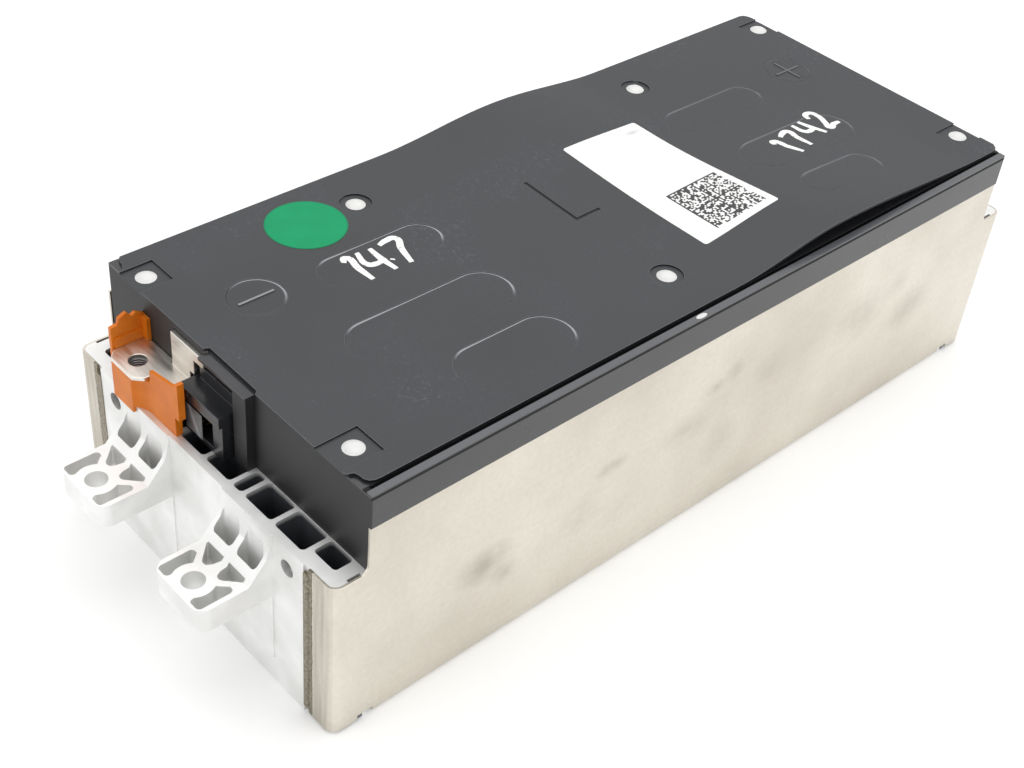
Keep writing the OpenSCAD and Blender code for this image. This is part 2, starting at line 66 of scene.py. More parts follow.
def placeCamera(view):
    azimuth, elevation, roll = (math.radians(view[key]) for key in ("azimuth", "elevation", "roll"))
    back = Vector((math.sin(azimuth) * math.cos(elevation), -math.cos(azimuth) * math.cos(elevation),
                   math.sin(elevation)))
    level = (-back).cross(Vector((0, 0, 1))).normalized()
    upright = back.cross(level)
    right = level * math.cos(roll) + upright * math.sin(roll)
    up = upright * math.cos(roll) - level * math.sin(roll)
    lens = bpy.data.cameras.new("photoCamera")
    lens.sensor_width = view["sensorWidth"]
    lens.lens = view["focalPixels"] / view["imageWidth"] * view["sensorWidth"]
    lens.clip_start = view["clipStart"]
    camera = bpy.data.objects.new("photoCamera", lens)
    bpy.context.scene.collection.objects.link(camera)
    turn = Matrix((right, up, back)).transposed().to_4x4()
    camera.matrix_world = Matrix.Translation(Vector(view["target"]) + back * view["distance"]) @ turn
    bpy.context.scene.camera = camera


placeCamera(photoView)
bpy.context.scene.view_settings.view_transform = "Standard"
print("camera placed")

# Material helpers


def toLinear(hexColour):
    channels = [int(hexColour[i:i + 2], 16) / 255 for i in (1, 3, 5)]
    return [c / 12.92 if c <= 0.04045 else ((c + 0.055) / 1.055) ** 2.4 for c in channels] + [1.0]


def addNode(owner, kind, inputs=None, **settings):
    node = owner.node_tree.nodes.new(kind)
    for name, value in settings.items():
        setattr(node, name, value)
    for name, value in (inputs or {}).items():
        if isinstance(value, bpy.types.NodeSocket):
            owner.node_tree.links.new(value, node.inputs[name])
        else:
            node.inputs[name].default_value = value
    return node


def newMaterial(name, hexColour, **sockets):
    material = bpy.data.materials.new(name)
    material.use_nodes = True
    shader = material.node_tree.nodes["Principled BSDF"]
    shader.inputs["Base Color"].default_value = toLinear(hexColour)
    for socket, value in sockets.items():
        shader.inputs[socket.replace("_", " ")].default_value = value
    place = addNode(material, "ShaderNodeTexCoord").outputs["Object"]
    return material, shader, place


def grain(material, place, scale, detail, stretch=(1, 1, 1)):
    spread = addNode(material, "ShaderNodeMapping", {"Vector": place, "Scale": stretch})
    return addNode(material, "ShaderNodeTexNoise", {
        "Vector": spread.outputs[0], "Scale": scale, "Detail": detail}).outputs["Fac"]


def remap(owner, value, low, high, toLow, toHigh):
    return addNode(owner, "ShaderNodeMapRange", {
        "Value": value, "From Min": low, "From Max": high, "To Min": toLow, "To Max": toHigh}).outputs[0]


# Each colour is a socket or hex text
def blendColour(material, amount, first, second):
    first, second = (toLinear(colour) if isinstance(colour, str) else colour for colour in (first, second))
    return addNode(material, "ShaderNodeMix", {0: amount, 6: first, 7: second}, data_type="RGBA").outputs[2]


# A blend that follows a noise between two of its levels
def mottle(material, value, first, second, low=0.3, high=0.7):
    return blendColour(material, remap(material, value, low, high, 0, 1), first, second)


def addMath(owner, operation, first, second=0.0):
    return addNode(owner, "ShaderNodeMath", {0: first, 1: second}, operation=operation).outputs[0]


def multiply(owner, first, second):
    return addMath(owner, "MULTIPLY", first, second)


def vectorMath(material, operation, first, second=(0, 0, 0)):
    return addNode(material, "ShaderNodeVectorMath", {0: first, 1: second}, operation=operation).outputs


def splitAxes(material, vector):
    return addNode(material, "ShaderNodeSeparateXYZ", {0: vector}).outputs


# 1 where a coordinate lies between two values in millimetres
def within(material, value, low, high):
    return multiply(material, addMath(material, "GREATER_THAN", value, low * mm),
                    addMath(material, "LESS_THAN", value, high * mm))


def connect(material, output, shader, socket):
    material.node_tree.links.new(output, shader.inputs[socket])


def bump(material, shader, height, distance, strength):
    relief = addNode(material, "ShaderNodeBump", {
        "Height": height, "Distance": distance, "Strength": strength})
    connect(material, relief.outputs[0], shader, "Normal")


# Soft patch, used for smudges of dirt, a printed dash and a painted glint: 1 at its centre and 0 at its edge
def patch(material, place, centre, size):
    away = vectorMath(material, "SUBTRACT", place, centre)[0]
    away = vectorMath(material, "MULTIPLY", away, [1 / s for s in size])[0]
    return remap(material, vectorMath(material, "LENGTH", away)["Value"], 1.0, 0.15, 0.0, 1.0)


# Materials

castLook = {"channelFrom": 164.0, "channelTo": 174.4, "channelTop": 69.3, "channelFade": 1.5}


# Die-cast aluminium, tumbled and left bare: pale, satin, faintly mottled, with painted shade darkening the
# inside of its channels
def castAluminium(look):
    material, shader, place = newMaterial("castAluminium", "#DADAD8", Metallic=0.7, Roughness=0.5)
    clouds = grain(material, place, 55, 3)
    pits = grain(material, place, 2600, 2)
    axes = splitAxes(material, place)
    top = look["channelTop"]
    # The inside of each channel, below its top, gets painted shade
    inside = within(material, addMath(material, "ABSOLUTE", axes[1]), look["channelFrom"], look["channelTo"])
    below = remap(material, axes[2], top * mm, (top - look["channelFade"]) * mm, 0, 1)
    inside = multiply(material, inside, below)
    pale = mottle(material, clouds, "#E4E4E2", "#F6F6F5", 0.35, 0.7)
    paintedChannelShade = mottle(material, clouds, "#565A60", "#71757B")
    connect(material, blendColour(material, inside, pale, paintedChannelShade), shader, "Base Color")
    connect(material, remap(material, clouds, 0.3, 0.7, 0.42, 0.58), shader, "Roughness")
    bump(material, shader, pits, 0.06 * mm, 0.5)
    return material


# Smudges on the right side are (y, z, width, height, depth)
steelMarks = {
    "smudges": [
        (-113, 41, 15, 10, 0.9), (-104, 31, 8, 6, 0.6), (-55, 53, 10, 4, 0.7), (-68, 38, 13, 11, 0.35),
        (-16, 49, 14, 8, 0.4), (-3, 63, 8, 4, 0.5), (7, 66, 6, 6, 0.55), (6, 32, 12, 15, 0.35),
        (30, 57, 12, 8, 0.35), (84, 56, 20, 15, 0.45), (122, 44, 17, 12, 0.6), (108, 62, 10, 8, 0.3),
    ],
    "face": 73.5, "reach": 20.0, "lowBand": 7.0, "lowFull": 0.5,
}
weldLook = {
    "outer": 63.8, "fade": 0.3, "ragged": 1.2, "crack": 0.5, "wrapFrom": 69.0, "wrapTo": 73.2, "face": 176.4,
}


# Masks of the weld beads at the steel's free edges, of the dark line beside them, and of the bent-in faces
def weldMasks(material, place, axes, look):
    outer, crack = look["outer"], look["crack"]
    across = addMath(material, "ABSOLUTE", axes[0])
    onEnd = addMath(material, "GREATER_THAN", addMath(material, "ABSOLUTE", axes[1]), look["face"] * mm)
    ragged = multiply(material, grain(material, place, 420, 3), look["ragged"] * mm)
    edge = addMath(material, "ADD", across, ragged)
    bead = remap(material, edge, outer * mm, (outer - look["fade"]) * mm, 0.0, 1.0)
    bead = multiply(material, bead, onEnd)
    line = remap(material, edge, (outer - crack) * mm, (outer - crack / 2) * mm, 0.0, 0.8)
    wrap = remap(material, across, look["wrapTo"] * mm, look["wrapFrom"] * mm, 0.0, 0.8)
    return bead, multiply(material, line, bead), multiply(material, wrap, onEnd)


# Cold-rolled stainless sheet: warm satin grey with rolling grain along the length and finger smudges, and
# darker towards its bottom edge
def stainlessSheet(marks, weld):
    material, shader, place = newMaterial("stainlessSheet", "#E6DFD0", Metallic=1.0, Roughness=0.4)
    fine = grain(material, place, 900, 2, (1, 0.05, 1))
    clouds = grain(material, place, 14, 3)
    smudgesAndLowBand = 0.0
    for y, z, wide, high, depth in marks["smudges"]:
        spot = patch(material, place, (marks["face"] * mm, y * mm, z * mm),
                     (marks["reach"] * mm, wide * mm, high * mm))
        smudgesAndLowBand = addMath(material, "ADD", multiply(material, spot, depth), smudgesAndLowBand)
    axes = splitAxes(material, place)
    # Darker towards the bottom edge over its lowest few millimetres, joined with the smudges
    low = remap(material, axes[2], marks["lowBand"] * mm, marks["lowFull"] * mm, 0.0, 0.3)
    broken = remap(material, grain(material, place, 160, 4), 0.3, 0.65, 0.45, 1.0)
    smudgesAndLowBand = multiply(material, addMath(material, "ADD", smudgesAndLowBand, low), broken)
    sheen = mottle(material, clouds, "#CFC9BD", "#E2DDD2", 0.35, 0.68)
    smudgedAndDarkened = blendColour(material, multiply(material, smudgesAndLowBand, 0.55), sheen, "#8E897D")
    flecks = remap(material, grain(material, place, 520, 4), 0.3, 0.72, 0.0, 0.14)
    speckled = blendColour(material, flecks, smudgedAndDarkened, "#A79F8E")
    heat, crack, wrap = weldMasks(material, place, axes, weld)
    # The bent-in faces are darkened with painted shade, broken by streaks along their height
    streaks = remap(material, grain(material, place, 700, 3, (1, 1, 0.04)), 0.3, 0.7, 0.25, 1.0)
    shadedStreakedWrap = blendColour(material, multiply(material, wrap, streaks), speckled, "#A8A294")
    crust = grain(material, place, 900, 4)
    tinted = blendColour(material, heat, shadedStreakedWrap, mottle(material, crust, "#6B6457", "#A39B88"))
    connect(material, blendColour(material, crack, tinted, "#3B362E"), shader, "Base Color")
    rolled = remap(material, fine, 0.3, 0.7, 0.34, 0.44)
    connect(material, addMath(material, "ADD", rolled, multiply(material, smudgesAndLowBand, 0.12)), shader, "Roughness")
    relief = addMath(material, "ADD", multiply(material, fine, 0.04), multiply(material, crust, heat))
    bump(material, shader, relief, 0.5 * mm, 0.6)
    return material


# Injection-moulded PBT in high-voltage orange: even, satin
def orangeMoulding():
    material, shader, place = newMaterial(
        "orangeMoulding", "#D97614", Roughness=0.45, Specular_IOR_Level=0.35, Subsurface_Weight=0.05,
        Subsurface_Radius=(0.0015, 0.0006, 0.0002))
    tone = mottle(material, grain(material, place, 90, 3), "#CC690B", "#E07D15")
    connect(material, tone, shader, "Base Color")
    bump(material, shader, grain(material, place, 3000, 1), 0.02 * mm, 0.3)
    return material


# Flame-retardant PC/ABS moulding: black, semi-gloss; the third value returned is a noise of hand marks
def blackMoulding(name, hexColour, shine, gloss):
    material, shader, place = newMaterial(name, hexColour, Roughness=shine, Specular_IOR_Level=gloss)
    bump(material, shader, grain(material, place, 1800, 2), 0.02 * mm, 0.35)
    return material, shader, grain(material, place, 30, 5, (1, 0.35, 1)), place


def plugMoulding():
    material, shader, wiped = blackMoulding("plugMoulding", "#222326", 0.28, 0.7)[:3]
    connect(material, remap(material, wiped, 0.3, 0.75, 0.22, 0.42), shader, "Roughness")
    return material


coverLook = {
    "rimTop": 102.45, "rimFrom": 70.0, "gapFrom": 69.0, "gapTo": 71.3, "gapFloor": 101.8,
    "lineFrom": 73.4, "lineTo": 74.5, "lineLow": 100.7, "lineHigh": 101.9,
    "wallFrom": 163.3, "wallTo": 170.0, "wallTop": 101.2,
    "glintSpot": (72.5, -19.0, 102.6), "glintSize": (1.3, 3.2, 1.5),
}


# Painted shade, darker and duller, where little light gets in: the gap by the sheet, the line below the rim
# and the end walls. The top of the right rim is painted lighter as a highlight, with a small painted glint on
# it
def coverMoulding(look):
    material, shader, wiped, place = blackMoulding("coverMoulding", "#202124", 0.26, 0.75)
    axes = splitAxes(material, place)
    gap = multiply(material, within(material, axes[0], look["gapFrom"], look["gapTo"]),
                   within(material, axes[2], look["gapFloor"], look["rimTop"]))
    line = multiply(material, within(material, axes[0], look["lineFrom"], look["lineTo"]),
                    within(material, axes[2], look["lineLow"], look["lineHigh"]))
    dark = addMath(material, "MAXIMUM", gap, line)
    endwards = addMath(material, "ABSOLUTE", axes[1])
    endWall = multiply(material, within(material, endwards, look["wallFrom"], look["wallTo"]),
                       addMath(material, "LESS_THAN", axes[2], look["wallTop"] * mm))
    rim = multiply(material, addMath(material, "GREATER_THAN", axes[2], look["rimTop"] * mm),
                   addMath(material, "GREATER_THAN", axes[0], look["rimFrom"] * mm))
    # Painted highlight: the top of the right rim is lighter
    body = blendColour(material, rim, "#26272A", "#4E5054")
    body = blendColour(material, endWall, body, "#050506")
    # Painted glint: a small pale spot on the rim
    glintSpot = patch(material, place, [c * mm for c in look["glintSpot"]], [c * mm for c in look["glintSize"]])
    body = blendColour(material, addMath(material, "GREATER_THAN", glintSpot, 0.25), body, "#D8D8D6")
    connect(material, blendColour(material, dark, body, "#020202"), shader, "Base Color")
    polish = remap(material, wiped, 0.3, 0.75, 0.2, 0.36)
    dull = addMath(material, "MAXIMUM", multiply(material, endWall, 0.6), dark)
    connect(material, addMath(material, "MAXIMUM", polish, dull), shader, "Roughness")
    return material


# Thermoformed polycarbonate sheet: dark grey, fine matt texture, light scuffs, with painted highlights along
# its edges and painted shade in its groove and on its edge walls
def formedSheet():
    material, shader, place = newMaterial("formedSheet", "#414245", Roughness=0.5)
    clouds = grain(material, place, 20, 4)
    speck = grain(material, place, 1300, 2)
    tone = mottle(material, clouds, "#292B2E", "#333539")
    dusty = blendColour(material, remap(material, speck, 0.6, 0.85, 0.0, 0.3), tone, "#5C5D60")
    scratches = addNode(material, "ShaderNodeTexWave", {
        "Vector": place, "Scale": 60.0, "Distortion": 18.0, "Detail": 4.0, "Detail Scale": 2.5,
    }, bands_direction="DIAGONAL")
    line = remap(material, scratches.outputs["Fac"], 0.985, 1.0, 0.0, 1.0)
    worn = multiply(material, line, remap(material, clouds, 0.52, 0.66, 0, 0.22))
    scuffed = blendColour(material, worn, dusty, "#85868A")
    # Painted highlights (red) and painted shade (green) come from the sheet's corner colours
    paintedEdgeLight = addNode(material, "ShaderNodeAttribute", attribute_name="paintedEdgeLight").outputs["Color"]
    light, dark = addNode(material, "ShaderNodeSeparateColor", {0: paintedEdgeLight}).outputs[:2]
    highlightedEdges = blendColour(material, light, scuffed, "#B4B6BB")
    connect(material, blendColour(material, dark, highlightedEdges, "#050506"), shader, "Base Color")
    connect(material, remap(material, clouds, 0.3, 0.7, 0.44, 0.56), shader, "Roughness")
    bump(material, shader, grain(material, place, 2200, 2), 0.03 * mm, 0.5)
    return material


# Nickel-plated copper bar: bright, warm, wiped surface
def platedBar():
    material, shader, place = newMaterial("platedBar", "#E4E0D8", Metallic=1.0, Roughness=0.28)
    streaks = grain(material, place, 420, 3, (0.15, 1, 1))
    connect(material, mottle(material, streaks, "#D6D1C8", "#F1EEE8", 0.3, 0.75), shader, "Base Color")
    connect(material, remap(material, streaks, 0.3, 0.7, 0.3, 0.46), shader, "Roughness")
    bump(material, shader, streaks, 0.02 * mm, 0.5)
    return material


threadPitch = 1.0


# Zinc-plated steel: grey and slightly rough, with the turns of the thread in relief
def zincSteel():
    material, shader, place = newMaterial("zincSteel", "#9C9D9E", Metallic=1.0, Roughness=0.36)
    spangle = grain(material, place, 700, 2)
    connect(material, remap(material, spangle, 0.3, 0.7, 0.28, 0.46), shader, "Roughness")
    turns = addNode(material, "ShaderNodeTexWave", {
        "Vector": place, "Scale": math.tau / 20 / (threadPitch * mm)}, bands_direction="Z")
    bump(material, shader, turns.outputs["Fac"], 0.4 * mm, 0.8)
    return material


# Moulded nylon: white, smooth, a little light inside
def whiteNylon():
    material, shader, place = newMaterial("whiteNylon", "#EDEDEA", Roughness=0.35, Subsurface_Weight=0.1,
                                          Subsurface_Radius=(0.001, 0.001, 0.001))
    tone = blendColour(material, grain(material, place, 500, 3), "#D4D4D1", "#E6E6E4")
    connect(material, tone, shader, "Base Color")
    return material


# Plain sheets, films and mouldings under the covers, each with a faint mottle
def plainPlastic(name, hexColour, secondColour, shine, **sockets):
    material, shader, place = newMaterial(name, hexColour, Roughness=shine, **sockets)
    clouds = grain(material, place, 120, 3)
    connect(material, blendColour(material, clouds, hexColour, secondColour), shader, "Base Color")
    connect(material, remap(material, clouds, 0.3, 0.7, shine - 0.05, shine + 0.08), shader, "Roughness")
    return material


finishes = {
    "castAluminium": castAluminium(castLook),
    "stainlessSheet": stainlessSheet(steelMarks, weldLook),
    "orangeMoulding": orangeMoulding(),
    "coverMoulding": coverMoulding(coverLook),
    "plugMoulding": plugMoulding(),
    "formedSheet": formedSheet(),
    "platedBar": platedBar(),
    "zincSteel": zincSteel(),
    "whiteNylon": whiteNylon(),
    "cellFilm": plainPlastic("cellFilm", "#1C4C86", "#235A9C", 0.3, Coat_Weight=0.3),
    "paleSheet": plainPlastic("paleSheet", "#DCDCD6", "#E8E8E3", 0.5),
    "darkSheet": plainPlastic("darkSheet", "#26282A", "#303234", 0.5),
    "clearFilm": plainPlastic("clearFilm", "#D5DADF", "#E4E8EC", 0.25),
    "rolledAluminium": plainPlastic("rolledAluminium", "#C9CACA", "#DCDDDD", 0.32, Metallic=1.0),
    "polyimideFilm": plainPlastic("polyimideFilm", "#8A5A1C", "#A06B22", 0.25, Coat_Weight=0.4),
    "goldPins": plainPlastic("goldPins", "#C9A24A", "#DDB65A", 0.25, Metallic=1.0),
}

slotFinish = {
    "cast_aluminium": "castAluminium", "stainless_steel": "stainlessSheet", "cell_can": "cellFilm",
    "spacer_sheet": "paleSheet", "insulator_plastic": "darkSheet", "insulating_film": "clearFilm",
    "carrier_plastic": "darkSheet", "link_aluminium": "rolledAluminium", "terminal_metal": "platedBar",
    "nut_steel": "zincSteel", "orange_plastic": "orangeMoulding", "flex_film": "polyimideFilm",
    "connector_plastic": "plugMoulding", "pin_metal": "goldPins", "inner_cover_plastic": "coverMoulding",
    "cover_sheet": "formedSheet", "rivet_plastic": "whiteNylon",
}
nodeSlot = {part["node"]: part["material_slot"] for part in frame["record"]["subparts"]}
for name, node in nodes.items():
    node.data.materials.clear()
    node.data.materials.append(finishes[slotFinish[nodeSlot[name]]])
print("materials made:", len(finishes))

# Mesh helpers


def linkPiece(name, shape, material, replaced=()):
    mesh = bpy.data.meshes.new(name)
    shape.normal_update()
    shape.to_mesh(mesh)
    shape.free()
    piece = bpy.data.objects.new(name, mesh)
    bpy.context.scene.collection.objects.link(piece)
    mesh.materials.append(material)
    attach(piece, "root")
    if replaced:
        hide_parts(*replaced)
    return piece


# Smooth over rounded edges, with large flat faces kept flat
def smoothShade(piece, sharpAngle):
    piece.data.shade_smooth()
    piece.data.set_sharp_from_angle(angle=math.radians(sharpAngle))
    weigh = piece.modifiers.new("flatFaces", "WEIGHTED_NORMAL")
    weigh.mode = "FACE_AREA"
    weigh.weight = 80
    weigh.keep_sharp = True


# Merged copy of a node's mesh with its flat areas joined into single faces
def mergedCopy(name):
    shape = bmesh.new()
    shape.from_mesh(nodes[name].data)
    bmesh.ops.remove_doubles(shape, verts=shape.verts, dist=0.02 * mm)
    bmesh.ops.dissolve_degenerate(shape, edges=shape.edges, dist=0.02 * mm)
    bmesh.ops.dissolve_limit(shape, angle_limit=math.radians(0.6), verts=shape.verts, edges=shape.edges)
    return shape


def bevelEdges(shape, edges, width, segments, **settings):
    return bmesh.ops.bevel(shape, geom=edges, offset=width * mm, offset_type="OFFSET", segments=segments,
                           profile=0.5, affect="EDGES", material=-1, **settings)["faces"]


# New edges where a plane crosses the shape, at a place in millimetres on one axis
def cutAcross(shape, axis, at):
    point, normal = Vector((0, 0, 0)), Vector((0, 0, 0))
    point[axis], normal[axis] = at * mm, 1
    bmesh.ops.bisect_plane(shape, geom=shape.verts[:] + shape.edges[:] + shape.faces[:], dist=1e-6,
                           plane_co=point, plane_no=normal)


def gridCuts(shape, reaches):
    for axis, low, high, step in reaches:
        at = low
        while at <= high:
            cutAcross(shape, axis, at)
            at += step


# Gives a flat shape its thickness
def thicken(shape, offset):
    made = bmesh.ops.extrude_face_region(shape, geom=shape.faces[:])["geom"]
    raised = [part for part in made if isinstance(part, bmesh.types.BMVert)]
    bmesh.ops.translate(shape, vec=offset, verts=raised)
    bmesh.ops.recalc_face_normals(shape, faces=shape.faces)


# Broken edges

rearCorner = {"cut": 66, "outside": 73.5, "lipFrom": 164, "lipTo": 163.75, "rear": 163, "radius": 2.0}
brokenEdges = {
    "end_plate_front": 0.35, "end_plate_rear": 0.35, "inner_cover": 0.35,
    "terminal_cover_front": 0.25, "terminal_cover_rear": 0.25, "signal_connector": 0.2,
    "output_busbar_front": 0.25, "output_busbar_rear": 0.25, "side_plate_left": 0.2, "side_plate_right": 0.2,
}


# The rear right corner of the cover: its lip runs out there, and its upright edge is rounder than the others
def roundCorner(shape, look):
    cutAcross(shape, 0, look["cut"])
    for vert in shape.verts:
        if vert.co.x > look["outside"] * mm and vert.co.y > look["lipFrom"] * mm:
            vert.co.y = look["lipTo"] * mm

    def isCorner(edge):
        start, end = (vert.co for vert in edge.verts)
        upright = abs((start - end).normalized().z) > 0.99
        outermost = min(start.x, end.x) > look["outside"] * mm and min(start.y, end.y) > look["rear"] * mm
        return upright and outermost and edge.is_convex and edge.calc_face_angle(0) > math.radians(40)

    bevelEdges(shape, [edge for edge in shape.edges if isCorner(edge)], look["radius"], 4, clamp_overlap=True)


# A node with its sharp edges broken, as moulds, punches and cutters leave them
def breakEdges(name, width):
    shape = mergedCopy(name)
    if name == "inner_cover":
        roundCorner(shape, rearCorner)
    sharp = [edge for edge in shape.edges if edge.is_manifold and edge.calc_face_angle() > math.radians(35)]
    bevelEdges(shape, sharp, width, 3, clamp_overlap=True, loop_slide=True)
    slotName = nodeSlot[name]
    piece = linkPiece(name + "_broken_edges", shape, finishes[slotFinish[slotName]], (name,))
    smoothShade(piece, 40)


for name, width in brokenEdges.items():
    breakEdges(name, width)
print("edges broken:", len(brokenEdges))

# Top sheet, bowed up between its rivets

bow = {
    "leftHeight": 4.6, "leftCentre": 12, "leftBefore": 60, "leftAfter": 60,
    "leftEdge": -90, "leftEnd": 30,
    "rightHeight": 5.8, "rightCentre": 60, "rightBefore": 56, "rightAfter": 100,
    "rightEdge": 70, "rightEnd": -20,
    "rivetHold": 9, "rivetReach": 30, "cuts": ((0, -68, 68, 4), (1, -164, 164, 4)),
}
# Depths are below the top of the sheet; the places are (left, right, near, far)
sunkFields = {
    "places": [(-28.6, -10.5, -112, -60), (6.6, 29, -128, -60), (37.6, 60, -108, -60),
               (-28.6, -12, 64, 116), (6.6, 29, 68, 128), (37.6, 54, 70, 112)],
    "margin": 0.1, "marks": [(-24.5, -135.5), (-24.5, 142)], "groove": (-23.5, 6.6, -15.6, -2),
    "slope": 0.9, "depth": 0.42, "edgeBreak": 0.3, "topBand": 0.05, "lowFrom": 0.16, "wallFrom": 0.25,
    "floorBand": (0.2, 0.4), "floorDepths": (0.25, 0.35), "markReach": 8.5, "markRing": (9, 13),
    "barLength": 7.4, "barWidth": 0.7, "sheetEdge": 66,
}
# How a field runs out: millimetres, then shares of its width, its length and its depth
runOut = {
    "leftBand": 2, "farBand": (12, 2), "widthLeft": 0.3, "lengthUsed": 0.6,
    "nearDepth": 0.3, "rightLoss": 0.7, "rearDepth": 0.45,
}
# How bright the painted highlight on each edge is, and the way that the brightest ones face, with the limits
# of that
edgeLightLook = {
    "field": {"light": 0.75, "facing": (-0.64, 0.77), "limits": (-0.05, 0.6)},
    "mark": {"light": 0.7, "facing": (-0.55, 0.83), "limits": (-0.1, 0.8)},
    "rearShare": 0.3, "edge": 0.28, "grooveEdge": 0.5, "grooveFacing": 0.2, "grooveShadeLimit": 0.4,
    "frontBar": 0.5, "rearBar": 0.15, "wallDark": 0.85,
}
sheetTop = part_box("top_cover")[1].z / mm
rivetPlaces = [(-56, -158.4), (53.6, -154.9), (-57.4, 161), (52.8, 160),
               (-50.2, -73.6), (-51.4, 74.8), (49, -11.8)]


def smoothStep(value, start, end):
    part = min(1.0, max(0.0, (value - start) / (end - start)))
    return part * part * (3 - 2 * part)


def hump(y, centre, before, after):
    part = (y - centre) / (after if y > centre else before)
    return math.cos(part * math.pi / 2) ** 2 if abs(part) < 1 else 0.0


# Height in millimetres by which the sheet stands off the inner cover
def sheetLift(x, y):
    left = bow["leftHeight"] * hump(y, bow["leftCentre"], bow["leftBefore"], bow["leftAfter"])
    right = bow["rightHeight"] * hump(y, bow["rightCentre"], bow["rightBefore"], bow["rightAfter"])
    lift = left * (1 - smoothStep(x, bow["leftEdge"], bow["leftEnd"]))
    lift += right * smoothStep(x, bow["rightEnd"], bow["rightEdge"])
    for rivetX, rivetY in rivetPlaces:
        lift *= smoothStep(math.hypot(x - rivetX, y - rivetY), bow["rivetHold"], bow["rivetReach"])
    return lift


# The sunk field at a place, or None
def fieldAt(x, y):
    margin = sunkFields["margin"]
    for left, right, near, far in sunkFields["places"]:
        if left - margin <= x <= right + margin and near - margin <= y <= far + margin:
            return left, right, near, far
    return None


# A field is deepest at its left and far edges and runs out towards the others
def fieldDepth(x, y):
    field = fieldAt(x, y)
    if field is None:
        return None
    left, right, near, far = field
    across = 1 - smoothStep(x, left + runOut["leftBand"], right - runOut["widthLeft"] * (right - left))
    onward = smoothStep(y, near, near + runOut["lengthUsed"] * (far - near))
    start, end = runOut["farBand"]
    beyond = smoothStep(y, far - start, far - end) * (1 - runOut["rightLoss"] * smoothStep(x, left, right))
    shallow = runOut["rearDepth"] if y > 0 else 1.0
    least = runOut["nearDepth"]
    return sunkFields["depth"] * shallow * max(across * (least + (1 - least) * onward), beyond)


# Painted highlight of an edge that faces a direction; it is fainter on the rear half
def facingLight(direction, y, look):
    share = edgeLightLook["rearShare"] if y > 0 else 1.0
    facing = direction.normalized().dot(Vector(look["facing"]))
    return look["light"] * share * smoothStep(facing, *look["limits"])


# How bright the painted highlight on an edge is: most where the outline faces left and away, as on a field's
# far arc
def edgeHighlightAmount(x, y):
    point = Vector((x, y))
    field = fieldAt(x, y)
    if field is not None:
        left, right, near, far = field
        half = (right - left) / 2
        inner = Vector((min(max(x, left + half), right - half), min(max(y, near + half), far - half)))
        return facingLight(point - inner, y, edgeLightLook["field"])
    inside, outside = sunkFields["markRing"]
    for middle in sunkFields["marks"]:
        away = point - Vector(middle)
        if inside < away.length < outside:
            return facingLight(away, y, edgeLightLook["mark"])
    return 0.0


def nearBars(point):
    reach = sunkFields["markReach"]
    return any((point.xy / mm - Vector(middle)).length < reach for middle in sunkFields["marks"])


# The front mark is a minus and the rear one a plus
def onBar(point):
    long, narrow = sunkFields["barLength"], sunkFields["barWidth"]
    for middle in sunkFields["marks"]:
        across, along = abs(point.x / mm - middle[0]), abs(point.y / mm - middle[1])
        if along < long and across < narrow or (middle[1] > 0 and along < narrow and across < long):
            return True
    return False


def inGroove(point):
    left, right, near, far = sunkFields["groove"]
    return left < point.x / mm < right and near < point.y / mm < far


# The floor of every sunk field gets a ring inside its outline, which is then lifted to the top as a slope
def slopeFields(shape):
    shallowest, deepest = sunkFields["floorBand"]
    floors = [face for face in shape.faces if face.normal.z > 0.9 and not inGroove(face.calc_center_median())
              and shallowest < sheetTop - face.calc_center_median().z / mm < deepest]
    rim = {vert for face in floors for edge in face.edges
           if sum(other in floors for other in edge.link_faces) == 1 for vert in edge.verts}
    ring = bmesh.ops.inset_region(shape, faces=floors, thickness=sunkFields["slope"] * mm,
                                  use_even_offset=True)["faces"]
    for face in ring:
        face.material_index = 1
    for vert in rim:
        if not nearBars(vert.co):
            vert.co.z = sheetTop * mm
    bmesh.ops.remove_doubles(shape, verts=shape.verts, dist=0.01 * mm)
    bmesh.ops.dissolve_degenerate(shape, edges=shape.edges, dist=0.01 * mm)
    return len(floors)


# Corner colours of the sheet: red for a painted highlight on an edge, green for painted shade in the groove
# and on the sheet's edge walls. Until then the faces' material index is 1 on the slopes and 2 on the broken
# edges
def paintEdgeLightAndShade(shape):
    layer = shape.loops.layers.float_color.new("paintedEdgeLight")
    turned = edgeLightLook["grooveFacing"]
    for face in shape.faces:
        middle = face.calc_center_median()
        below = sheetTop - middle.z / mm
        low = below > sunkFields["lowFrom"]
        sloped, broken = face.material_index == 1, face.material_index == 2
        for loop in face.loops:
            point = loop.vert.co
            light = edgeHighlightAmount(point.x / mm, point.y / mm) if sloped else 0.0
            # Broken edges and the bars of the marks get a painted highlight, brighter on the groove's lit
            # side; the groove and the deep edge walls get painted shade
            if broken:
                litGrooveEdge = inGroove(middle) and (face.normal.x < -turned or face.normal.y > turned)
                light = edgeLightLook["grooveEdge"] if litGrooveEdge else edgeLightLook["edge"]
            if onBar(middle) and face.normal.z > 0.9 and not low:
                light = edgeLightLook["frontBar"] if middle.y < 0 else edgeLightLook["rearBar"]
            dark = inGroove(middle) and (low or (broken and light < edgeLightLook["grooveShadeLimit"]))
            wall = abs(face.normal.z) < 0.5 and below > sunkFields["wallFrom"] and (
                middle.y < 0 or abs(middle.x) > sunkFields["sheetEdge"] * mm)
            loop[layer] = (light, 1.0 if dark else edgeLightLook["wallDark"] if wall else 0.0, 0.0, 1.0)
        face.material_index = 0


